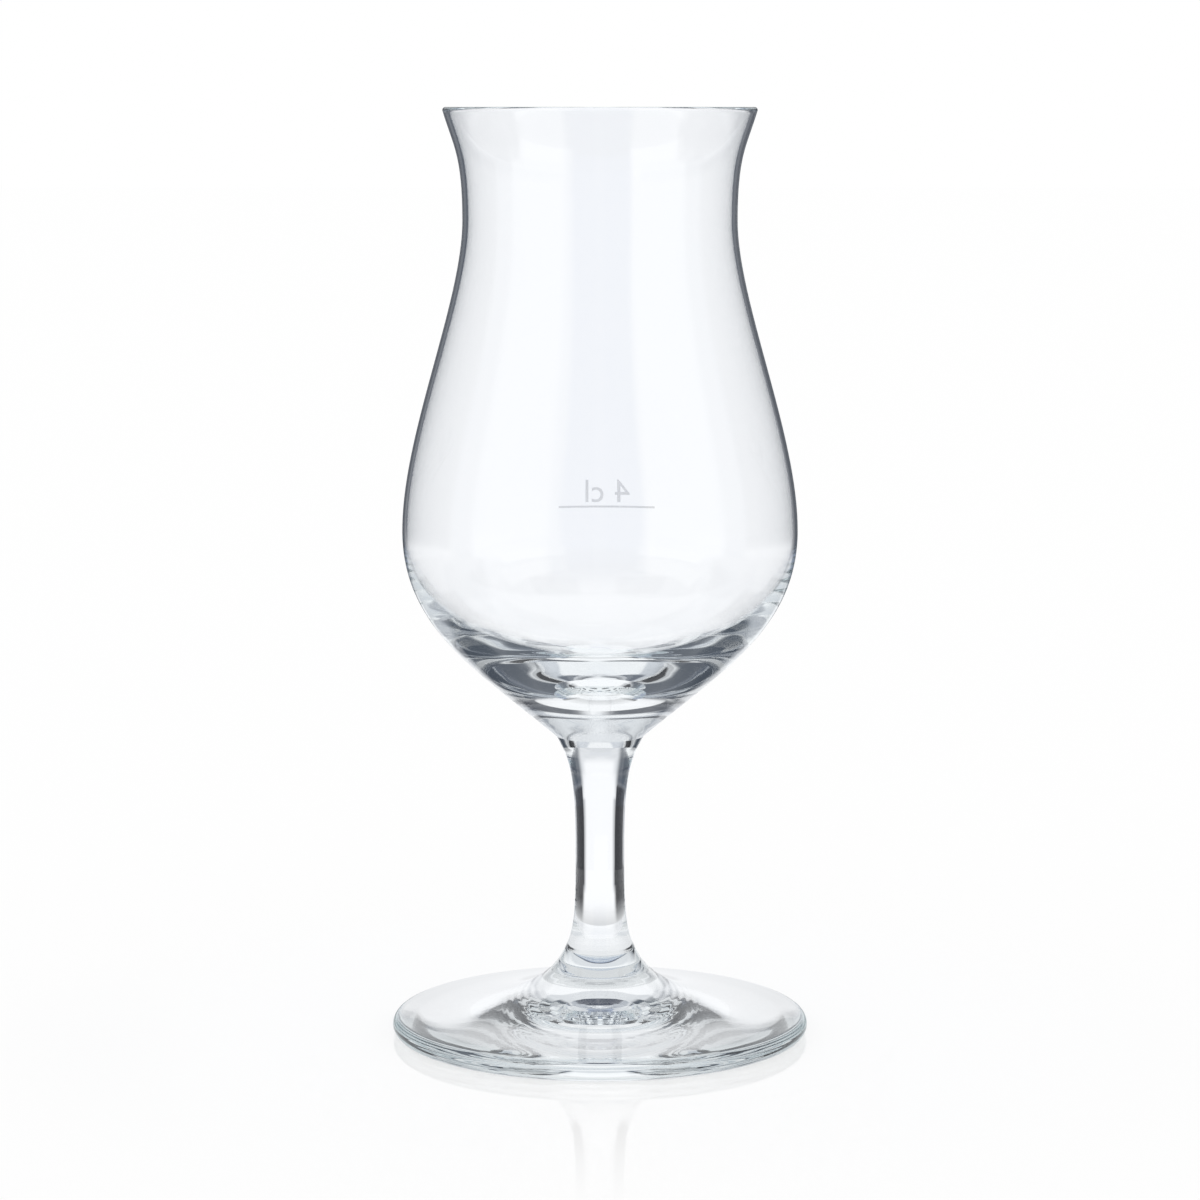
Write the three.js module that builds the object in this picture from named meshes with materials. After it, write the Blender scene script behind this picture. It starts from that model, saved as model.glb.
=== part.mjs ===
// Stemmed whisky nosing glass in clear glass: a blown tulip bowl with a solid base, a slender drawn stem
// and a spun foot, three gathers of glass that are fused end to end while hot.
// Millimetres, +Z up. The origin is the centre of the flat ring that the foot stands on.
import * as THREE from "three";

// Foot: a disc with a fully rounded edge, a hollowed underside and a flared boss under the stem
const footRadius = 31.85;
const footEdgeThickness = 2.85;
const footRestWidth = 2.7; // flat ring that touches the table
const footHollowDepth = 2.95; // underside at the axis, above the table
const discSlope = 0.15; // rise of the disc at its edge, per millimetre inwards
const bossHeight = 10.05; // from the disc's edge up to the seam with the stem
const bossSlope = 0.45; // widening of the boss at the seam, per millimetre of height
const bossRingCount = 4; // shallow rings that the spinning tool leaves round the boss
const bossRingDepth = 0.15;
const bossRingReach = 0.42; // share of the rise from the disc's edge that carries rings

// Stem: solid, waisted, flaring at both ends
const stemLowerLength = 16.75; // from the seam with the foot up to the waist
const stemUpperLength = 16.4; // from the waist up to the seam with the bowl
const stemBottomRadius = 5.4; // seam with the foot
const stemWaistRadius = 3.75;
const stemTopRadius = 6.7; // seam with the bowl
const stemTopSlope = 0.55; // widening at the upper seam, per millimetre of height

// Bowl: lengths from the seam with the stem up to the belly, to the neck and to the top of the rim
const bowlBaseLength = 31.4;
const shoulderLength = 46.85;
const throatLength = 16.7;
const bellyRadius = 29.9; // outside, as are the next two
const neckRadius = 20.6;
const rimRadius = 23.5;
const baseSlope = 1.17; // widening at the seam, per millimetre of height
const rimSlope = 0.3; // outward lean of the rim, per millimetre of height
const bellyWall = 1.25;
const neckWall = 1.05;
const rimWall = 1.1;
const baseThickness = 9; // solid glass between the seam and the floor of the cavity

// Heights of the two seams above the table
const footSeamHeight = footEdgeThickness + bossHeight;
const bowlSeamHeight = footSeamHeight + stemLowerLength + stemUpperLength;

// Fullness of each sweep: how far the tangents at its ends reach, as a share of the span between them
const hollowFullness = 0.135;
const discFullness = 0.57;
const bossFullness = 0.67;
const stemWaistFullness = 0.66;
const stemEndFullness = 0.2;
const baseFullness = 0.335;
const bellyBaseFullness = 0.455;
const bellyShoulderFullness = 0.31;
const neckShoulderFullness = 0.26;
const neckThroatFullness = 0.6;
const rimFullness = 0.33;
const cavityWallFullness = 0.75;
const cavityFloorFullness = 0.55; // of the outside's radius at the height of the cavity's floor

// Facets
const facetsRound = 64;
const sweepSteps = 9;
const rimSteps = 2;
const edgeSteps = 6;
const stepsPerRing = 4;

// A point of a profile: distance from the axis and height
const at = (radius, height) => new THREE.Vector2(radius, height);

// A smooth stretch of a profile between two points, drawn towards a handle at each end
function sweep(start, startHandle, endHandle, end, steps = sweepSteps) {
  return new THREE.CubicBezierCurve(start, startHandle, endHandle, end).getPoints(steps);
}

// A round stretch of a profile, from one angle to another, counted from straight out
function round(centre, radius, startAngle, endAngle, steps) {
  const points = [];
  for (let i = 0; i <= steps; i++) {
    const angle = startAngle + ((endAngle - startAngle) * i) / steps;
    points.push(at(centre.x + radius * Math.cos(angle), centre.y + radius * Math.sin(angle)));
  }
  return points;
}

// Stretches laid end to end, without the points that they share
function join(...stretches) {
  const sameSpot = 1e-6;
  const points = [];
  for (const point of stretches.flat()) {
    if (!points.length || point.distanceTo(points.at(-1)) > sameSpot) points.push(point);
  }
  return points;
}

// How far a rising profile is from the axis at a height
function radiusAt(profile, height) {
  const next = profile.findIndex((point) => point.y >= height);
  const [below, above] = [profile[next - 1], profile[next]];
  return THREE.MathUtils.mapLinear(height, below.y, above.y, below.x, above.x);
}

// A named solid of revolution, standing at the given height
function turned(name, profile, material, height) {
  const geometry = new THREE.LatheGeometry(profile, facetsRound);
  geometry.rotateX(Math.PI / 2);
  const mesh = new THREE.Mesh(geometry, material);
  mesh.name = name;
  mesh.position.z = height;
  return mesh;
}

function clearGlass() {
  return new THREE.MeshStandardMaterial({
    color: 0xeef3f5,
    roughness: 0.02,
    metalness: 0,
    transparent: true,
    opacity: 0.35,
  });
}

// The disc's rise into the boss, scalloped near the seam by the rings of the spinning tool
function bossSweep(discEdge) {
  const seam = at(stemBottomRadius, discEdge.y + bossHeight);
  const discReach = discFullness * (discEdge.x - stemBottomRadius);
  const bossReach = bossFullness * bossHeight;
  const curve = new THREE.CubicBezierCurve(
    discEdge,
    at(discEdge.x - discReach, discEdge.y + discSlope * discReach),
    at(seam.x + bossSlope * bossReach, seam.y - bossReach),
    seam,
  );
  const ringsStart = 1 - bossRingReach;
  const ringSteps = bossRingCount * stepsPerRing;
  const points = [];
  for (let i = 0; i < sweepSteps; i++) points.push(curve.getPoint((ringsStart * i) / sweepSteps));
  for (let i = 0; i <= ringSteps; i++) {
    const along = ringsStart + (bossRingReach * i) / ringSteps;
    const bulge = bossRingDepth * Math.abs(Math.sin((Math.PI * i) / stepsPerRing));
    const tangent = curve.getTangent(along);
    points.push(curve.getPoint(along).add(at(tangent.y, -tangent.x).multiplyScalar(bulge)));
  }
  return points;
}

// Spun foot, from the middle of its hollow underside, over the edge and up the boss to the seam
function makeFoot(material) {
  const edgeRadius = footEdgeThickness / 2;
  const edgeCentre = at(footRadius - edgeRadius, edgeRadius);
  const restInner = edgeCentre.x - footRestWidth;
  const hollow = sweep(
    at(0, footHollowDepth),
    at(hollowFullness * restInner, footHollowDepth),
    at(restInner * (1 - hollowFullness), 0),
    at(restInner, 0),
    edgeSteps,
  );
  const edge = round(edgeCentre, edgeRadius, -Math.PI / 2, Math.PI / 2, edgeSteps);
  const top = bossSweep(edge.at(-1));
  return turned("foot", join(hollow, edge, top, [at(0, top.at(-1).y)]), material, 0);
}

// Drawn stem, from its seam with the foot up to its seam with the bowl
function makeStem(material) {
  const bottom = at(stemBottomRadius, 0);
  const waist = at(stemWaistRadius, stemLowerLength);
  const top = at(stemTopRadius, stemLowerLength + stemUpperLength);
  const bottomReach = stemEndFullness * stemLowerLength;
  const topReach = stemEndFullness * stemUpperLength;
  const lower = sweep(
    bottom,
    at(bottom.x - bossSlope * bottomReach, bottomReach),
    at(waist.x, waist.y - stemWaistFullness * stemLowerLength),
    waist,
  );
  const upper = sweep(
    waist,
    at(waist.x, waist.y + stemWaistFullness * stemUpperLength),
    at(top.x - stemTopSlope * topReach, top.y - topReach),
    top,
  );
  return turned("stem", join([at(0, 0)], lower, upper, [at(0, top.y)]), material, footSeamHeight);
}

// One face of the wall, from the belly up past the neck to where the rim's rounding starts
function bowlWall(belly, neck, rim) {
  const throat = rim.y - neck.y;
  const shoulderSweep = sweep(
    belly,
    at(belly.x, belly.y + bellyShoulderFullness * shoulderLength),
    at(neck.x, neck.y - neckShoulderFullness * shoulderLength),
    neck,
  );
  const throatSweep = sweep(
    neck,
    at(neck.x, neck.y + neckThroatFullness * throat),
    at(rim.x - rimSlope * rimFullness * throat, rim.y - rimFullness * throat),
    rim,
  );
  return join(shoulderSweep, throatSweep);
}

// Blown bowl, from its seam with the stem, up the outside, over the fire-polished rim and down the cavity
function makeBowl(material) {
  const seam = at(stemTopRadius, 0);
  const baseReach = baseFullness * bowlBaseLength;
  const outerBelly = at(bellyRadius, bowlBaseLength);
  const outerNeck = at(neckRadius, bowlBaseLength + shoulderLength);
  const base = sweep(
    seam,
    at(seam.x + baseSlope * baseReach, baseReach),
    at(outerBelly.x, outerBelly.y - bellyBaseFullness * bowlBaseLength),
    outerBelly,
  );

  // The rim's rounding touches both faces of the wall, which lean outwards there
  const lean = Math.atan(rimSlope);
  const rounding = rimWall / 2;
  const rimCentre = at(rimRadius - rounding, outerNeck.y + throatLength - rounding);
  const rimOutside = round(rimCentre, rounding, -lean, Math.PI / 2, rimSteps);
  const rimInside = round(rimCentre, rounding, Math.PI / 2, Math.PI - lean, rimSteps);
  const outside = bowlWall(outerBelly, outerNeck, rimOutside[0]);

  const innerBelly = at(bellyRadius - bellyWall, outerBelly.y);
  const innerNeck = at(neckRadius - neckWall, outerNeck.y);
  const inside = bowlWall(innerBelly, innerNeck, rimInside.at(-1)).reverse();
  const floor = sweep(
    innerBelly,
    at(innerBelly.x, innerBelly.y - cavityWallFullness * (innerBelly.y - baseThickness)),
    at(cavityFloorFullness * radiusAt(base, baseThickness), baseThickness),
    at(0, baseThickness),
  );
  const profile = join([at(0, 0)], base, outside, rimOutside, rimInside, inside, floor);
  return turned("bowl", profile, material, bowlSeamHeight);
}

const glass = new THREE.Group();
const material = clearGlass();
glass.add(makeFoot(material), makeStem(material), makeBowl(material));

export default glass;
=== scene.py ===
import math

import bmesh
import bpy
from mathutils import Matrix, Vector, noise


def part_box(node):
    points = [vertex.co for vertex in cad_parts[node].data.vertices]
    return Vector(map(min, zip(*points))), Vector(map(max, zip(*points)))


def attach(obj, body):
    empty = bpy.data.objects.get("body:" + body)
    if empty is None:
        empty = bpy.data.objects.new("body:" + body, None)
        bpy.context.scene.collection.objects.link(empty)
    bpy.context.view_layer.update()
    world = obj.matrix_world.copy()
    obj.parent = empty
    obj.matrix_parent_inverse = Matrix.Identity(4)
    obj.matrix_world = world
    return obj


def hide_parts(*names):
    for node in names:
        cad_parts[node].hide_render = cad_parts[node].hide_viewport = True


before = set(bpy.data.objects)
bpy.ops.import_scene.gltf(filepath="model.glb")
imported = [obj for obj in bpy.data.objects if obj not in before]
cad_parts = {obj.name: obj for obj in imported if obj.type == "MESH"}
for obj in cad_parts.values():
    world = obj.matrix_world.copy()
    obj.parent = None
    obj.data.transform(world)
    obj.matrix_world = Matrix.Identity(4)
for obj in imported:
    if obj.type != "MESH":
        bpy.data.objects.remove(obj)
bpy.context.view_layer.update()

# Looks of a stemmed whisky nosing glass: clear fused glass, a printed fill line, a white floor and a studio
# tent for what it mirrors and bends. Metres, +Z up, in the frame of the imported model.
MM = 0.001

# Sizes taken from the frame
_, foot_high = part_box("foot")
stem_low, stem_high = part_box("stem")
_, bowl_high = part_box("bowl")
FOOT_RADIUS = foot_high.x
FOOT_SEAM = stem_low.z
BOWL_SEAM = stem_high.z
STEM_TOP_RADIUS = stem_high.x
RIM_HEIGHT = bowl_high.z
BELLY_RADIUS = bowl_high.x

# A fullness is how far the tangent at an end of a sweep reaches, as a share of the span.

# Foot
FOOT_EDGE = 2.85 * MM  # thickness of the disc's rounded edge
FOOT_REST_WIDTH = 2.7 * MM  # flat ring that touches the table
FOOT_HOLLOW = 2.95 * MM  # underside at the axis, above the table
DISC_SLOPE = 0.15  # of the disc at its edge
DISC_FULLNESS = 0.57
BOSS_SLOPE = 0.45  # widening of the boss at the seam, for its height
BOSS_FULLNESS = 0.67
HOLLOW_FULLNESS = 0.135
STEM_BOTTOM_RADIUS = 5.4 * MM
RING_COUNT = 4  # rings that the spinning tool leaves round the boss
RING_DEPTH = 0.045 * MM
RING_REACH = 0.36  # share of the rise that carries rings
RIPPLE_DEPTH = 0.004 * MM  # finer marks of the same tool on the underside
RIPPLE_PITCH = 1.25 * MM
RIPPLE_START, RIPPLE_END = 4.5 * MM, 15 * MM  # distances from the axis
RIPPLE_FADE = 0.25  # share of that stretch over which they fade, at either end

# Stem
WAIST_RADIUS = 3.75 * MM
WAIST_HEIGHT = FOOT_SEAM + 16.75 * MM
STEM_TOP_SLOPE = 0.55
WAIST_FULLNESS = 0.66
STEM_END_FULLNESS = 0.2

# Bowl
BELLY_HEIGHT = BOWL_SEAM + 31.4 * MM
NECK_RADIUS = 20.6 * MM
NECK_HEIGHT = BELLY_HEIGHT + 46.85 * MM
RIM_RADIUS = 23.5 * MM
BASE_SLOPE = 1.17
RIM_SLOPE = 0.3
BELLY_WALL = 0.7 * MM  # the walls are as thin as the edge lines in the photograph suggest
NECK_WALL = 0.85 * MM
RIM_WALL = 0.9 * MM
CAVITY_FLOOR = BOWL_SEAM + 9 * MM
BASE_FULLNESS = 0.335
BELLY_BASE_FULLNESS = 0.455
BELLY_SHOULDER_FULLNESS = 0.31
NECK_SHOULDER_FULLNESS = 0.26
NECK_THROAT_FULLNESS = 0.6
RIM_FULLNESS = 0.33
CAVITY_WALL_FULLNESS = 0.75
CAVITY_FLOOR_FULLNESS = 0.55

# Waviness of the blown base, inside and outside
WAVE_DEPTH = 0.032 * MM
WAVE_LENGTH_ROUND = 12 * MM
WAVE_LENGTH_UP = 2.6 * MM
WAVE_TOP = BOWL_SEAM + 25 * MM
WAVE_FADE_LOW, WAVE_FADE_HIGH = 5 * MM, 10 * MM  # heights over which the waves set in and fade out

# Fill line and its measure, printed on the outside of the back wall and read from behind
LINE_HEIGHT = 77.9 * MM
LINE_LENGTH = 15.7 * MM
LINE_WIDTH = 0.32 * MM
LINE_OFFSET = 1.1 * MM  # of its middle, to the right of the axis
LINE_LIFT = 0.01 * MM  # gap between the wall and the enamel
LINE_THICKNESS = 0.03 * MM
LINE_STEPS = 48
MEASURE = "4 cl"
MEASURE_SIZE = 5.3 * MM
MEASURE_RISE = 0.75 * MM  # from the line up to the foot of the figures
MEASURE_CURVE_STEPS = 4
MEASURE_CUTS = 2  # finer edges, so that the figures bend with the wall
MEASURE_WELD = 0.001 * MM
PRINT_TURN = math.pi / 2 - LINE_OFFSET / BELLY_RADIUS  # where the middle of the print is, round the axis

# Mesh
ROUND = 192  # faces round the axis
SWEEP_STEPS = 40
FINE_STEPS = 160
ARC_STEPS = 12
SEAM_GAP = 0.001 * MM  # keeps the end faces of fused pieces apart
SAME_SPOT = 0.00001 * MM  # what is closer than this is in one place


def ease(share):
    """A smooth step from 0 to 1."""
    share = min(1.0, max(0.0, share))
    return share * share * (3 - 2 * share)


def sweep(start, start_handle, end_handle, end, steps=SWEEP_STEPS):
    """Points of a smooth stretch of a profile, each a distance from the axis and a height."""
    points = []
    for i in range(steps + 1):
        t = i / steps
        weights = ((1 - t) ** 3, 3 * (1 - t) ** 2 * t, 3 * (1 - t) * t * t, t**3)
        ends = (start, start_handle, end_handle, end)
        points.append(tuple(sum(w * p[k] for w, p in zip(weights, ends)) for k in (0, 1)))
    return points


def arc(centre, radius, start, end, steps=ARC_STEPS):
    """Points of a round stretch of a profile, between two angles counted from straight out."""
    angles = [start + (end - start) * i / steps for i in range(steps + 1)]
    return [(centre[0] + radius * math.cos(a), centre[1] + radius * math.sin(a)) for a in angles]


def chain(*stretches):
    """Stretches laid end to end, without the points that they share."""
    points = []
    for point in (p for stretch in stretches for p in stretch):
        if not points or math.dist(point, points[-1]) > SAME_SPOT:
            points.append(point)
    return points


def radius_at(profile, height):
    """How far a rising profile is from the axis at a height."""
    for (r0, z0), (r1, z1) in zip(profile, profile[1:]):
        if z0 <= height <= z1:
            return r0 + (r1 - r0) * (height - z0) / (z1 - z0)


def normals(profile):
    """Directions out of the glass along a profile."""
    found = []
    for i in range(len(profile)):
        before, after = profile[max(i - 1, 0)], profile[min(i + 1, len(profile) - 1)]
        run, rise = after[0] - before[0], after[1] - before[1]
        length = math.hypot(run, rise)
        found.append((rise / length, -run / length))
    return found


def moved(profile, distances):
    """A profile moved out of the glass by a distance at each of its points."""
    return [(r + d * n[0], z + d * n[1]) for (r, z), n, d in zip(profile, normals(profile), distances)]


def placed(name, data):
    """An object in the scene."""
    piece = bpy.data.objects.new(name, data)
    bpy.context.scene.collection.objects.link(piece)
    return piece


def modelled(name, bm):
    """An object made of a finished bmesh, with its faces turned outwards."""
    bmesh.ops.recalc_face_normals(bm, faces=bm.faces)
    mesh = bpy.data.meshes.new(name)
    bm.to_mesh(mesh)
    bm.free()
    return placed(name, mesh)


def turned(name, profile, seams=(), wave=None):
    """A closed body of revolution. Faces in a seam are marked as clear; wave gives depths of waviness."""
    bm = bmesh.new()
    glass_face = bm.faces.layers.float.new("glass_face")
    turns = [2 * math.pi * i / ROUND for i in range(ROUND)]
    rings = []
    for (radius, height), (out, up) in zip(profile, normals(profile)):
        if radius < SAME_SPOT:
            rings.append([bm.verts.new((0, 0, height))])
            continue
        depth = wave(height) if wave else 0.0
        ring = []
        for a in turns:
            place = Vector((radius * math.cos(a), radius * math.sin(a), height))
            if depth:
                x, y = place.x / WAVE_LENGTH_ROUND, place.y / WAVE_LENGTH_ROUND
                shift = depth * noise.noise(Vector((x, y, height / WAVE_LENGTH_UP)))
                place += shift * Vector((out * math.cos(a), out * math.sin(a), up))
            ring.append(bm.verts.new(place))
        rings.append(ring)
    for (low, high), (start, end) in zip(zip(rings, rings[1:]), zip(profile, profile[1:])):
        in_seam = any(max(abs(start[1] - z), abs(end[1] - z)) < SAME_SPOT for z in seams)
        for i in range(ROUND):
            j = (i + 1) % ROUND
            corners = [low[i % len(low)], low[j % len(low)], high[j % len(high)], high[i % len(high)]]
            face = bm.faces.new(list(dict.fromkeys(corners)))
            face.smooth = True
            face[glass_face] = 0.0 if in_seam else 1.0
    for edge in bm.edges:
        faces = edge.link_faces
        edge.smooth = faces[0][glass_face] == faces[1][glass_face]
    return modelled(name, bm)


def foot_profile():
    """From the middle of the hollow underside, over the edge and up the ringed boss to the seam."""
    edge_radius = FOOT_EDGE / 2
    edge_centre = (FOOT_RADIUS - edge_radius, edge_radius)
    rest_inner = edge_centre[0] - FOOT_REST_WIDTH
    hollow = sweep(
        (0, FOOT_HOLLOW),
        (HOLLOW_FULLNESS * rest_inner, FOOT_HOLLOW),
        (rest_inner * (1 - HOLLOW_FULLNESS), 0),
        (rest_inner, 0),
        FINE_STEPS,
    )
    ripples = []
    for radius, _ in hollow:
        along = (radius - RIPPLE_START) / (RIPPLE_END - RIPPLE_START)
        strength = ease(along / RIPPLE_FADE) * ease((1 - along) / RIPPLE_FADE)
        ripples.append(RIPPLE_DEPTH * strength * math.sin(2 * math.pi * radius / RIPPLE_PITCH))
    edge = arc(edge_centre, edge_radius, -math.pi / 2, math.pi / 2)
    disc = edge[-1]
    disc_reach = DISC_FULLNESS * (disc[0] - STEM_BOTTOM_RADIUS)
    boss_reach = BOSS_FULLNESS * (FOOT_SEAM - disc[1])
    rise = sweep(
        disc,
        (disc[0] - disc_reach, disc[1] + DISC_SLOPE * disc_reach),
        (STEM_BOTTOM_RADIUS + BOSS_SLOPE * boss_reach, FOOT_SEAM - boss_reach),
        (STEM_BOTTOM_RADIUS, FOOT_SEAM),
        FINE_STEPS,
    )
    rings = []
    for i in range(FINE_STEPS + 1):
        along = max(0.0, (i / FINE_STEPS - 1 + RING_REACH) / RING_REACH)
        rings.append(RING_DEPTH * abs(math.sin(math.pi * RING_COUNT * along)))
    return chain(moved(hollow, ripples), edge, moved(rise, rings), [(0, FOOT_SEAM)])


def stem_profile():
    """From the seam with the foot, in to the waist and out to the seam with the bowl."""
    bottom, top = FOOT_SEAM + SEAM_GAP, BOWL_SEAM - SEAM_GAP
    lower, upper = WAIST_HEIGHT - FOOT_SEAM, BOWL_SEAM - WAIST_HEIGHT
    low_reach, high_reach = STEM_END_FULLNESS * lower, STEM_END_FULLNESS * upper
    below = sweep(
        (STEM_BOTTOM_RADIUS, bottom),
        (STEM_BOTTOM_RADIUS - BOSS_SLOPE * low_reach, FOOT_SEAM + low_reach),
        (WAIST_RADIUS, WAIST_HEIGHT - WAIST_FULLNESS * lower),
        (WAIST_RADIUS, WAIST_HEIGHT),
    )
    above = sweep(
        (WAIST_RADIUS, WAIST_HEIGHT),
        (WAIST_RADIUS, WAIST_HEIGHT + WAIST_FULLNESS * upper),
        (STEM_TOP_RADIUS - STEM_TOP_SLOPE * high_reach, BOWL_SEAM - high_reach),
        (STEM_TOP_RADIUS, top),
    )
    return chain([(0, bottom)], below, above, [(0, top)])


def wall(belly, neck, rim):
    """One face of the bowl's wall, from the belly up past the neck to where the rim's rounding starts."""
    shoulder, throat = neck[1] - belly[1], rim[1] - neck[1]
    return chain(
        sweep(
            belly,
            (belly[0], belly[1] + BELLY_SHOULDER_FULLNESS * shoulder),
            (neck[0], neck[1] - NECK_SHOULDER_FULLNESS * shoulder),
            neck,
        ),
        sweep(
            neck,
            (neck[0], neck[1] + NECK_THROAT_FULLNESS * throat),
            (rim[0] - RIM_SLOPE * RIM_FULLNESS * throat, rim[1] - RIM_FULLNESS * throat),
            rim,
        ),
    )


def bowl_profile():
    """From the seam with the stem, up the outside, over the rim and down the cavity to its floor."""
    base_length = BELLY_HEIGHT - BOWL_SEAM
    reach = BASE_FULLNESS * base_length
    belly, neck = (BELLY_RADIUS, BELLY_HEIGHT), (NECK_RADIUS, NECK_HEIGHT)
    base = sweep(
        (STEM_TOP_RADIUS, BOWL_SEAM),
        (STEM_TOP_RADIUS + BASE_SLOPE * reach, BOWL_SEAM + reach),
        (BELLY_RADIUS, BELLY_HEIGHT - BELLY_BASE_FULLNESS * base_length),
        belly,
    )
    lean = math.atan(RIM_SLOPE)
    rounding = RIM_WALL / 2
    rim = arc((RIM_RADIUS - rounding, RIM_HEIGHT - rounding), rounding, -lean, math.pi - lean)
    inner_belly = (BELLY_RADIUS - BELLY_WALL, BELLY_HEIGHT)
    inner_neck = (NECK_RADIUS - NECK_WALL, NECK_HEIGHT)
    inside = wall(inner_belly, inner_neck, rim[-1])[::-1]
    floor = sweep(
        inner_belly,
        (inner_belly[0], BELLY_HEIGHT - CAVITY_WALL_FULLNESS * (BELLY_HEIGHT - CAVITY_FLOOR)),
        (CAVITY_FLOOR_FULLNESS * radius_at(base, CAVITY_FLOOR), CAVITY_FLOOR),
        (0, CAVITY_FLOOR),
        2 * SWEEP_STEPS,
    )
    return chain([(0, BOWL_SEAM)], base, wall(belly, neck, rim[0]), rim, inside, floor)


def base_wave(height):
    """Depth of the waviness: none at the seam, full in the solid base, fading out below the belly."""
    sets_in = ease((height - BOWL_SEAM) / WAVE_FADE_LOW)
    fades_out = ease((WAVE_TOP - height) / WAVE_FADE_HIGH)
    return WAVE_DEPTH * sets_in * fades_out


# Looks of the glass and of its print
GLASS_TINT = (0.993, 0.996, 0.998, 1)
GLASS_IOR = 1.52
GLASS_DEPTH_TINT = (0.7, 0.93, 0.94, 1)  # what thick glass leaves of white
GLASS_DENSITY = 2.5
PRINT_ROUGHNESS = 0.6
PRINT_COVER = 0.2  # the enamel is thin
PRINT_GRAIN = 2500.0  # per metre
PRINT_RANGE = (0.3, 0.7)  # of the grain, from the darker grey to the lighter one
PRINT_GREYS = ((0.52, 0.53, 0.55, 1), (0.64, 0.65, 0.67, 1))


def new_material(name):
    """A material, its nodes and its links."""
    material = bpy.data.materials.new(name)
    material.use_nodes = True
    return material, material.node_tree.nodes, material.node_tree.links


def bare_material(name):
    """A material that has no nodes yet, its nodes and its links."""
    material, nodes, links = new_material(name)
    nodes.clear()
    return material, nodes, links


def glass_material():
    """Clear glass. Inside the fused seams the glass is unbroken, so light passes straight on there."""
    material, nodes, links = new_material("clear_glass")
    shader = nodes["Principled BSDF"]
    shader.inputs["Base Color"].default_value = GLASS_TINT
    shader.inputs["Roughness"].default_value = 0.0
    shader.inputs["IOR"].default_value = GLASS_IOR
    shader.inputs["Transmission Weight"].default_value = 1.0
    face = nodes.new("ShaderNodeAttribute")
    face.attribute_name = "glass_face"
    links.new(face.outputs["Fac"], shader.inputs["Alpha"])
    depth = nodes.new("ShaderNodeVolumeAbsorption")
    depth.inputs["Color"].default_value = GLASS_DEPTH_TINT
    depth.inputs["Density"].default_value = GLASS_DENSITY
    links.new(depth.outputs["Volume"], nodes["Material Output"].inputs["Volume"])
    return material


glass = glass_material()
PIECES = (
    # node, profile, heights of its seams, waviness
    ("foot", foot_profile(), (FOOT_SEAM,), None),
    ("stem", stem_profile(), (FOOT_SEAM + SEAM_GAP, BOWL_SEAM - SEAM_GAP), None),
    ("bowl", bowl_profile(), (BOWL_SEAM,), base_wave),
)
for node, profile, seams, wave in PIECES:
    piece = turned("clear_" + node, profile, seams, wave)
    piece.data.materials.append(glass)
    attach(piece, "root")
    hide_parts(node)


def print_material():
    """Fired enamel, slightly uneven like a screen print."""
    material, nodes, links = new_material("measure_print")
    shader = nodes["Principled BSDF"]
    shader.inputs["Roughness"].default_value = PRINT_ROUGHNESS
    shader.inputs["Alpha"].default_value = PRINT_COVER
    place = nodes.new("ShaderNodeTexCoord")
    grain = nodes.new("ShaderNodeTexNoise")
    grain.inputs["Scale"].default_value = PRINT_GRAIN
    ramp = nodes.new("ShaderNodeValToRGB")
    for element, position, grey in zip(ramp.color_ramp.elements, PRINT_RANGE, PRINT_GREYS):
        element.position = position
        element.color = grey
    links.new(place.outputs["Object"], grain.inputs["Vector"])
    links.new(grain.outputs["Fac"], ramp.inputs["Fac"])
    links.new(ramp.outputs["Color"], shader.inputs["Base Color"])
    return material


def fill_line(name):
    """A thin curved bar of enamel just off the outside of the wall."""
    inner, outer = BELLY_RADIUS + LINE_LIFT, BELLY_RADIUS + LINE_LIFT + LINE_THICKNESS
    low, high = LINE_HEIGHT - LINE_WIDTH / 2, LINE_HEIGHT + LINE_WIDTH / 2
    corners = ((inner, low), (outer, low), (outer, high), (inner, high))
    bm = bmesh.new()
    stations = []
    for i in range(LINE_STEPS + 1):
        a = PRINT_TURN + (i / LINE_STEPS - 0.5) * LINE_LENGTH / BELLY_RADIUS
        stations.append([bm.verts.new((r * math.cos(a), r * math.sin(a), z)) for r, z in corners])
    for here, there in zip(stations, stations[1:]):
        for k in range(len(corners)):
            after = (k + 1) % len(corners)
            bm.faces.new((here[k], here[after], there[after], there[k]))
    bm.faces.new(stations[0])
    bm.faces.new(stations[-1])
    return modelled(name, bm)


def measure_mark(name):
    """Flat figures of enamel, bent onto the wall above the fill line."""
    words = bpy.data.curves.new(name, "FONT")
    words.body = MEASURE
    words.size = MEASURE_SIZE
    words.align_x = "CENTER"
    words.extrude = LINE_THICKNESS / 2
    words.resolution_u = MEASURE_CURVE_STEPS
    flat = placed(name + "_flat", words)
    mesh = bpy.data.meshes.new_from_object(flat.evaluated_get(bpy.context.evaluated_depsgraph_get()))
    bpy.data.objects.remove(flat)
    bm = bmesh.new()
    bm.from_mesh(mesh)
    bpy.data.meshes.remove(mesh)
    bmesh.ops.remove_doubles(bm, verts=bm.verts, dist=MEASURE_WELD)
    bmesh.ops.triangulate(bm, faces=bm.faces)
    bmesh.ops.subdivide_edges(bm, edges=bm.edges, cuts=MEASURE_CUTS, use_grid_fill=True)
    outside = wall((BELLY_RADIUS, BELLY_HEIGHT), (NECK_RADIUS, NECK_HEIGHT), (RIM_RADIUS, RIM_HEIGHT))
    for vert in bm.verts:
        height = LINE_HEIGHT + MEASURE_RISE + vert.co.y
        radius = radius_at(outside, height) + 2 * LINE_LIFT + LINE_THICKNESS / 2 + vert.co.z
        a = PRINT_TURN + vert.co.x / BELLY_RADIUS
        vert.co = (radius * math.cos(a), radius * math.sin(a), height)
    return modelled(name, bm)


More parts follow.
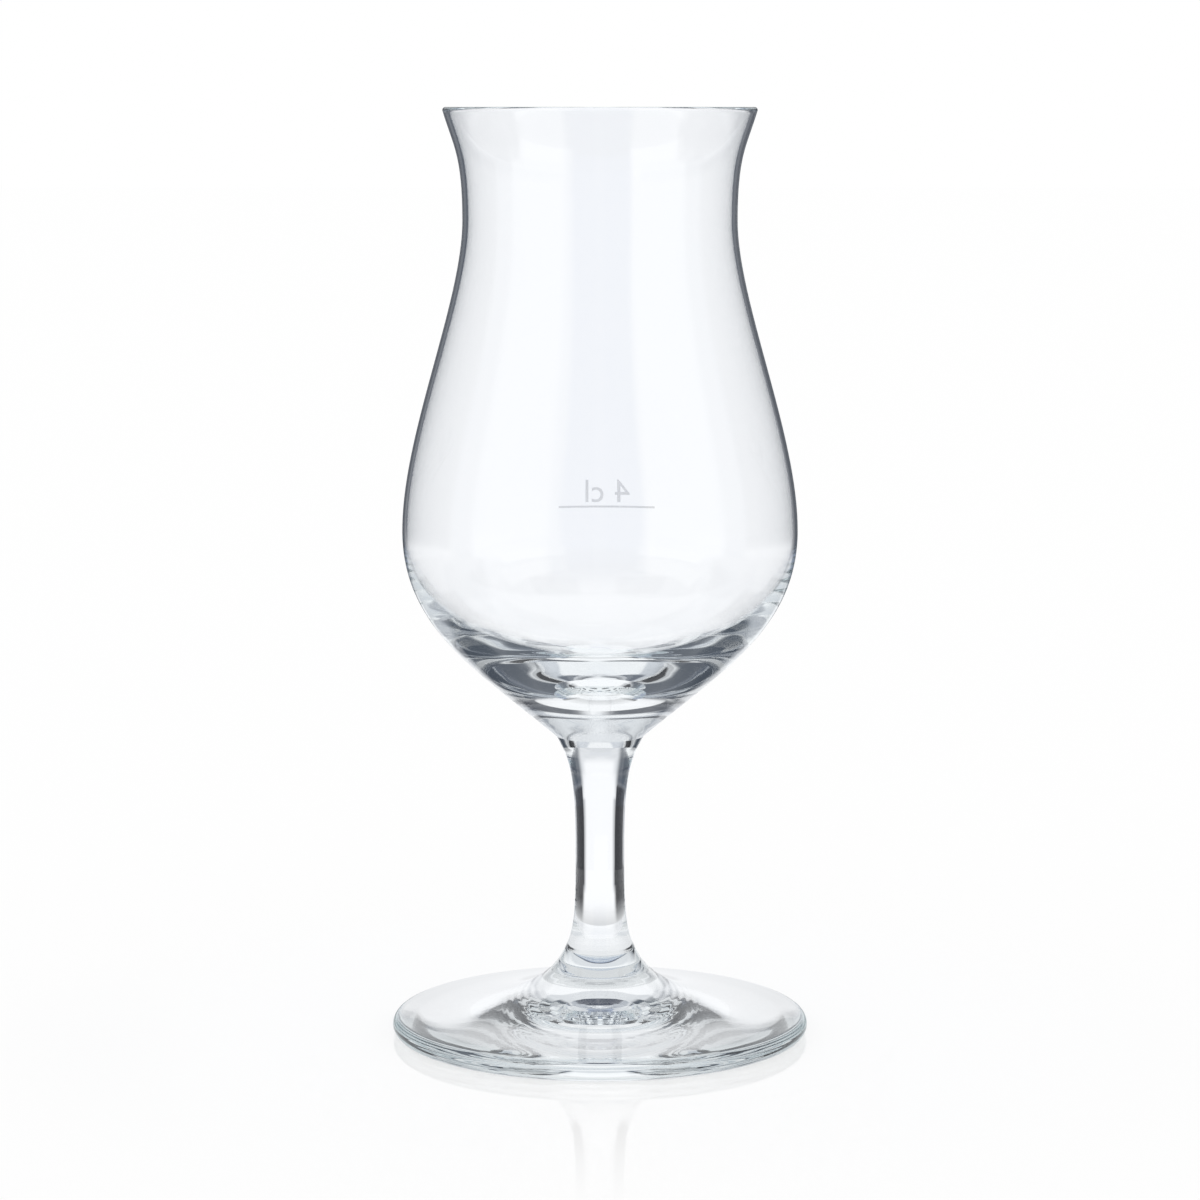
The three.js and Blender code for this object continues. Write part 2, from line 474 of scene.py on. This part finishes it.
enamel = print_material()
for piece in (fill_line("fill_line"), measure_mark("measure_mark")):
    piece.data.materials.append(enamel)
    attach(piece, "root")

# Floor: white, with a faint mirror image in front of the foot. The glass sees the tent's floor instead.
WHITE = (1, 1, 1, 1)
FLOOR_SIDE = 12.0
FLOOR_GAP = 0.05 * MM
FLOOR_MATT = (0.98, 0.98, 0.98, 1)
FLOOR_GLOW = 0.8  # share of the floor's white that takes no shadow
MIRROR_IOR = 1.24
MIRROR_BLUR = 0.03
MIRROR_START, MIRROR_END = 38 * MM, 100 * MM  # distances from the axis over which the mirror image fades


def mirror_share(nodes, links):
    """The strength of the mirror image, which grows at flat angles and fades away from the glass."""
    place = nodes.new("ShaderNodeTexCoord")
    distance = nodes.new("ShaderNodeVectorMath")
    distance.operation = "LENGTH"
    near = nodes.new("ShaderNodeMapRange")
    near.interpolation_type = "SMOOTHSTEP"
    near.inputs["From Min"].default_value = MIRROR_START
    near.inputs["From Max"].default_value = MIRROR_END
    near.inputs["To Min"].default_value = 1.0
    near.inputs["To Max"].default_value = 0.0
    shine = nodes.new("ShaderNodeFresnel")
    shine.inputs["IOR"].default_value = MIRROR_IOR
    share = nodes.new("ShaderNodeMath")
    share.operation = "MULTIPLY"
    links.new(place.outputs["Object"], distance.inputs[0])
    links.new(distance.outputs["Value"], near.inputs["Value"])
    links.new(near.outputs["Result"], share.inputs[0])
    links.new(shine.outputs["Fac"], share.inputs[1])
    return share.outputs["Value"]


def floor_material():
    """Matt white with a glow of its own, under the mirror image."""
    material, nodes, links = bare_material("floor")
    output = nodes.new("ShaderNodeOutputMaterial")
    matt = nodes.new("ShaderNodeBsdfDiffuse")
    matt.inputs["Color"].default_value = FLOOR_MATT
    glow = nodes.new("ShaderNodeEmission")
    glow.inputs["Color"].default_value = WHITE
    glow.inputs["Strength"].default_value = 1.0
    white = nodes.new("ShaderNodeMixShader")
    white.inputs["Fac"].default_value = FLOOR_GLOW
    gloss = nodes.new("ShaderNodeBsdfGlossy")
    gloss.inputs["Color"].default_value = WHITE
    gloss.inputs["Roughness"].default_value = MIRROR_BLUR
    mix = nodes.new("ShaderNodeMixShader")
    links.new(matt.outputs["BSDF"], white.inputs[1])
    links.new(glow.outputs["Emission"], white.inputs[2])
    links.new(mirror_share(nodes, links), mix.inputs["Fac"])
    links.new(white.outputs["Shader"], mix.inputs[1])
    links.new(gloss.outputs["BSDF"], mix.inputs[2])
    links.new(mix.outputs["Shader"], output.inputs["Surface"])
    return material


bpy.ops.mesh.primitive_plane_add(size=FLOOR_SIDE, location=(0, 0, -FLOOR_GAP))
floor = bpy.context.object
floor.name = "floor"
floor.data.materials.append(floor_material())
floor.visible_glossy = False
floor.visible_transmission = False

# Studio tent: a floor, a round wall and a ceiling, white with grey and dark cards on them. Only reflections
# and refractions see it. Azimuths are in degrees to either side of straight behind the glass, and places are
# millimetres along the tent: out along its floor, up its wall and in along its ceiling.
TENT_RADIUS = 385
TENT_HEIGHT = 480
TENT_CENTRE = 1.4  # azimuth of the middle of the white strip behind the glass
TENT_TURNS = 180
TENT_STEP = 7
TENT_WHITE = (1.0, 1.01, 1.03)  # a little cool
STAGE_DROP = 2 * FLOOR_GAP  # keeps the tent's floor under the white one
WALL = TENT_RADIUS
CEILING = TENT_RADIUS + TENT_HEIGHT
TENT_END = CEILING + TENT_RADIUS
BEHIND, FRONT = -1, 181  # azimuths just past straight behind and straight in front
TOP = TENT_END + 60  # a place past the middle of the ceiling

# Cards that the solid glass sees. A later card covers an earlier one.
SOLID_FRONT = ((153, FRONT), 7, (170, CEILING + 55), 60, (0.38, 0.43, 0.55))
SOLID_CARDS = (
    # azimuths, soft edge, places, soft edge, colour
    ((BEHIND, FRONT), 1, (WALL + 150, TOP), 80, (0.75, 0.77, 0.80)),  # upper wall and ceiling
    ((20, FRONT), 8, (WALL + 60, WALL + 180), 80, (0.75, 0.77, 0.80)),  # lower wall beside the white strip
    ((17, FRONT), 6, (WALL + 385, TOP), 50, (0.46, 0.49, 0.54)),  # top of the wall and ceiling
    ((BEHIND, 25), 5, (CEILING - 70, CEILING + 175), 40, (0.09, 0.10, 0.13)),  # ceiling over the white strip
    ((27, 93), 10, (WALL + 15, WALL + 330), 70, (0.085, 0.10, 0.125)),  # side walls
    ((88, 105), 6, (WALL, CEILING + 40), 10, (0.40, 0.42, 0.46)),  # wall in front of those
    ((98, 128), 8, (CEILING - 15, CEILING + 55), 10, (0.02, 0.02, 0.03)),  # at the ceiling's edge
    SOLID_FRONT,
    ((24, 113), 6, (90, WALL), 14, (0.50, 0.51, 0.53)),  # floor at the sides
    ((28, 77), 8, (38, 118), 7, (0.02, 0.02, 0.024)),  # floor beside the foot
    ((BEHIND, FRONT), 1, (16, 50), 56, (0.64, 0.65, 0.66)),  # painted shadow of the foot on the tent's floor under it
)

# Light that came straight through the base or one wall sees no front card, and a white band on the wall.
STRAIGHT_CARDS = tuple(card for card in SOLID_CARDS if card is not SOLID_FRONT) + (
    ((20, FRONT), 6, (WALL + 66, WALL + 106), 12, (1.0, 1.0, 1.0)),
)

# Light that was mirrored in one wall also sees a dark card on either side of straight behind. It draws the
# dark lines along the bowl's edges.
EDGE_CARDS = SOLID_CARDS + (((3, 27), 6, (WALL - 60, WALL + 190), 90, (0.11, 0.12, 0.14)),)

# Light that came through both walls of the bowl, mirrored on the way or straight, sees a white horizon, so
# that the bowl is clear from every side.
BOWL_FACES = 4  # faces of the two walls
BOWL_FRONT = ((153, FRONT), 7, (60, CEILING + 140), 40, (0.42, 0.50, 0.70))
BOWL_CARDS = (
    ((BEHIND, 145), 2, (WALL + 190, CEILING + 30), 40, (0.67, 0.70, 0.75)),  # upper wall
    BOWL_FRONT,
    ((56, FRONT), 6, (WALL + 320, TOP), 85, (0.12, 0.14, 0.18)),  # ceiling
    ((101, 154), 3, (WALL + 275, WALL + 370), 14, (1.0, 1.0, 1.0)),  # window beside the front card
)
CLEAR_CARDS = tuple(card for card in BOWL_CARDS if card is not BOWL_FRONT) + (
    ((30, 85), 8, (WALL + 105, WALL + 350), 20, (0.09, 0.10, 0.12)),  # side walls
)
TENT_LIGHTS = {
    "solid_light": SOLID_CARDS,
    "straight_light": STRAIGHT_CARDS,
    "edge_light": EDGE_CARDS,
    "bowl_light": BOWL_CARDS,
    "clear_light": CLEAR_CARDS,
}

# Low curved cards that stand round the foot. Light that came through both walls of the bowl doesn't see them.
LOW_RADIUS = 96
LOW_HEIGHT = 37
LOW_CARDS = (
    # azimuths, colour
    ((27, 60), (0.018, 0.019, 0.023)),
    ((143, 170), (0.29, 0.30, 0.33)),
)
LOW_SOFT_SIDE = 1  # soft edges, in degrees and in millimetres
LOW_SOFT_TOP = 3
LOW_STEPS = 16
LOW_ROWS = 12

# Clear rings round foot and stem, and a clear disc over the floor's mirror image. Light that has passed one
# of them is known as light of the foot, the stem or the floor, and not of the bowl.
CLEAR_RINGS = ((45, 0, 40), (12, 34, 48))  # radius, bottom, top
CLEAR_DISC_RADIUS = 105
CLEAR_TURNS = 96

# Sockets of a mix node for colours
MIX_FACTOR, MIX_OTHERWISE, MIX_THEN, MIX_RESULT = 0, 6, 7, 2


def window(value, bounds, soft):
    """1 between two bounds and 0 outside them, with soft edges of a width."""
    return ease((value - bounds[0]) / soft + 0.5) * ease((bounds[1] - value) / soft + 0.5)


def tent_light(cards, azimuth, place):
    """What the tent shines with at an azimuth and a place along it."""
    light = TENT_WHITE
    for azimuths, azimuth_soft, places, place_soft, colour in cards:
        share = window(azimuth, azimuths, azimuth_soft) * window(place, places, place_soft)
        light = tuple(a + share * (b - a) for a, b in zip(light, colour))
    return light


def passed(nodes, links, count, least):
    """1 for light that was bent, mirrored or let through at least so many times, and otherwise 0."""
    path = nodes.new("ShaderNodeLightPath")
    enough = nodes.new("ShaderNodeMath")
    enough.operation = "GREATER_THAN"
    enough.inputs[1].default_value = least - 0.5
    links.new(path.outputs[count], enough.inputs[0])
    return enough.outputs["Value"]


def chosen(nodes, links, factor, otherwise, then):
    """One of two colours, by a factor of 0 or 1."""
    mix = nodes.new("ShaderNodeMix")
    mix.data_type = "RGBA"
    links.new(factor, mix.inputs[MIX_FACTOR])
    links.new(otherwise, mix.inputs[MIX_OTHERWISE])
    links.new(then, mix.inputs[MIX_THEN])
    return mix.outputs[MIX_RESULT]


def tent_material():
    """The tent's light, by the way that it takes through the glass."""
    material, nodes, links = bare_material("studio_tent")
    material.cycles.emission_sampling = "NONE"
    light = {}
    for name in TENT_LIGHTS:
        attribute = nodes.new("ShaderNodeAttribute")
        attribute.attribute_name = name
        light[name] = attribute.outputs["Color"]
    mirrored = passed(nodes, links, "Glossy Depth", 1)
    marked = passed(nodes, links, "Transparent Depth", 1)
    through_bowl = passed(nodes, links, "Transmission Depth", BOWL_FACES)
    solid = chosen(nodes, links, mirrored, light["straight_light"], light["edge_light"])
    solid = chosen(nodes, links, marked, solid, light["solid_light"])
    bowl = chosen(nodes, links, mirrored, light["clear_light"], light["bowl_light"])
    shine = nodes.new("ShaderNodeEmission")
    output = nodes.new("ShaderNodeOutputMaterial")
    links.new(chosen(nodes, links, through_bowl, solid, bowl), shine.inputs["Color"])
    links.new(shine.outputs["Emission"], output.inputs["Surface"])
    return material


def low_card_material(name, colour):
    """A plain card with soft edges, which is clear to light that came through both walls of the bowl."""
    material, nodes, links = bare_material(name)
    material.cycles.emission_sampling = "NONE"
    shine = nodes.new("ShaderNodeEmission")
    shine.inputs["Color"].default_value = colour + (1,)
    clear = nodes.new("ShaderNodeBsdfTransparent")
    mix = nodes.new("ShaderNodeMixShader")
    output = nodes.new("ShaderNodeOutputMaterial")
    cover = nodes.new("ShaderNodeAttribute")
    cover.attribute_name = "cover"
    amount = nodes.new("ShaderNodeMath")
    amount.operation = "SUBTRACT"
    amount.use_clamp = True
    links.new(cover.outputs["Fac"], amount.inputs[0])
    links.new(passed(nodes, links, "Transmission Depth", BOWL_FACES), amount.inputs[1])
    links.new(amount.outputs["Value"], mix.inputs["Fac"])
    links.new(clear.outputs["BSDF"], mix.inputs[1])
    links.new(shine.outputs["Emission"], mix.inputs[2])
    links.new(mix.outputs["Shader"], output.inputs["Surface"])
    return material


def clear_material():
    """Nothing to see: light goes straight on."""
    material, nodes, links = bare_material("low_ring")
    clear = nodes.new("ShaderNodeBsdfTransparent")
    output = nodes.new("ShaderNodeOutputMaterial")
    links.new(clear.outputs["BSDF"], output.inputs["Surface"])
    return material


def staged(name, vertices, faces, material):
    """A piece of the stage that only reflections and refractions see."""
    mesh = bpy.data.meshes.new(name)
    mesh.from_pydata(vertices, [], faces)
    mesh.materials.append(material)
    piece = placed(name, mesh)
    piece.visible_camera = False
    piece.visible_diffuse = False
    piece.visible_shadow = False
    piece.visible_volume_scatter = False
    return piece


def round_place(radius, azimuth, height):
    """A point of the stage, from a radius and a height in millimetres and an azimuth in degrees."""
    turn = math.radians(azimuth)
    return (radius * math.sin(turn) * MM, radius * math.cos(turn) * MM, height * MM - STAGE_DROP)


def studio_tent():
    """The tent, which carries each set of cards as a colour of its vertices."""
    steps = math.ceil(TENT_END / TENT_STEP)
    vertices, faces = [], []
    lights = {name: [] for name in TENT_LIGHTS}
    for i in range(steps + 1):
        place = TENT_END * i / steps
        radius = min(place, TENT_RADIUS, TENT_END - place)
        height = min(max(place - WALL, 0), TENT_HEIGHT)
        for j in range(TENT_TURNS):
            azimuth = 360 * j / TENT_TURNS - 180
            vertices.append(round_place(radius, azimuth, height))
            aside = abs((azimuth - TENT_CENTRE + 180) % 360 - 180)
            for name, cards in TENT_LIGHTS.items():
                lights[name].extend(tent_light(cards, aside, place) + (1.0,))
    for i in range(steps):
        for j in range(TENT_TURNS):
            k = (j + 1) % TENT_TURNS
            low, high = i * TENT_TURNS, (i + 1) * TENT_TURNS
            faces.append((low + j, low + k, high + k, high + j))
    tent = staged("studio_tent", vertices, faces, tent_material())
    for name, colours in lights.items():
        tent.data.attributes.new(name, "FLOAT_COLOR", "POINT").data.foreach_set("color", colours)


def low_card(name, side, azimuths, material):
    """One low card, to the left (-1) or to the right (1) of the white strip."""
    first, last = azimuths[0] - LOW_SOFT_SIDE / 2, azimuths[1] + LOW_SOFT_SIDE / 2
    vertices, faces, covers = [], [], []
    for i in range(LOW_STEPS + 1):
        aside = first + (last - first) * i / LOW_STEPS
        for j in range(LOW_ROWS + 1):
            height = (LOW_HEIGHT + LOW_SOFT_TOP / 2) * j / LOW_ROWS
            vertices.append(round_place(LOW_RADIUS, TENT_CENTRE + side * aside, height))
            top = ease((LOW_HEIGHT - height) / LOW_SOFT_TOP + 0.5)
            covers.append(window(aside, azimuths, LOW_SOFT_SIDE) * top)
    for i in range(LOW_STEPS):
        for j in range(LOW_ROWS):
            k = i * (LOW_ROWS + 1) + j
            faces.append((k, k + LOW_ROWS + 1, k + LOW_ROWS + 2, k + 1))
    card = staged(name, vertices, faces, material)
    card.data.attributes.new("cover", "FLOAT", "POINT").data.foreach_set("value", covers)
    card.visible_glossy = False


def clear_disc(material):
    """A clear disc between the foot and the floor."""
    rim = [round_place(CLEAR_DISC_RADIUS, 360 * i / CLEAR_TURNS, 0) for i in range(CLEAR_TURNS)]
    staged("clear_disc", [(x, y, -FLOOR_GAP / 2) for x, y, _ in rim], [range(CLEAR_TURNS)], material)


def clear_ring(name, radius, bottom, top, material):
    """A clear upright ring round the axis."""
    vertices, faces = [], []
    for i in range(CLEAR_TURNS):
        for height in (bottom, top):
            vertices.append(round_place(radius, 360 * i / CLEAR_TURNS, height))
        k = 2 * ((i + 1) % CLEAR_TURNS)
        faces.append((2 * i, k, k + 1, 2 * i + 1))
    staged(name, vertices, faces, material)


studio_tent()
for number, (azimuths, colour) in enumerate(LOW_CARDS):
    card_material = low_card_material(f"low_card_{number}", colour)
    for side, side_name in ((-1, "left"), (1, "right")):
        low_card(f"low_card_{number}_{side_name}", side, azimuths, card_material)
clear_film = clear_material()
clear_disc(clear_film)
for number, (radius, bottom, top) in enumerate(CLEAR_RINGS):
    clear_ring(f"low_ring_{number}", radius, bottom, top, clear_film)

world = bpy.data.worlds.new("studio")
world.use_nodes = True
world.node_tree.nodes["Background"].inputs["Color"].default_value = WHITE
world.node_tree.nodes["Background"].inputs["Strength"].default_value = 1.0
bpy.context.scene.world = world

# Camera, from a fit of the outline in the photograph
PHOTO_SIDE = 1200
FOCAL_PIXELS = 3685.4
SENSOR_WIDTH = 36.0  # millimetres, as Blender has it
CAMERA_DISTANCE = 554.5 * MM
CAMERA_HEIGHT = 141.0 * MM
CAMERA_PITCH = math.radians(7.62)
CAMERA_NEAR = 10 * MM
camera_data = bpy.data.cameras.new("camera")
camera_data.sensor_width = SENSOR_WIDTH
camera_data.lens = FOCAL_PIXELS * SENSOR_WIDTH / PHOTO_SIDE
camera_data.clip_start = CAMERA_NEAR
camera = placed("camera", camera_data)
camera.location = (0, -CAMERA_DISTANCE, CAMERA_HEIGHT)
camera.rotation_euler = (math.pi / 2 - CAMERA_PITCH, 0, 0)
bpy.context.scene.camera = camera

# Light runs far inside the rim before it comes out again
GLASS_BOUNCES = 160
CLEAR_BOUNCES = 16
bpy.context.scene.view_settings.view_transform = "Standard"
bpy.context.scene.cycles.max_bounces = GLASS_BOUNCES
bpy.context.scene.cycles.transmission_bounces = GLASS_BOUNCES
bpy.context.scene.cycles.glossy_bounces = GLASS_BOUNCES
bpy.context.scene.cycles.transparent_max_bounces = CLEAR_BOUNCES
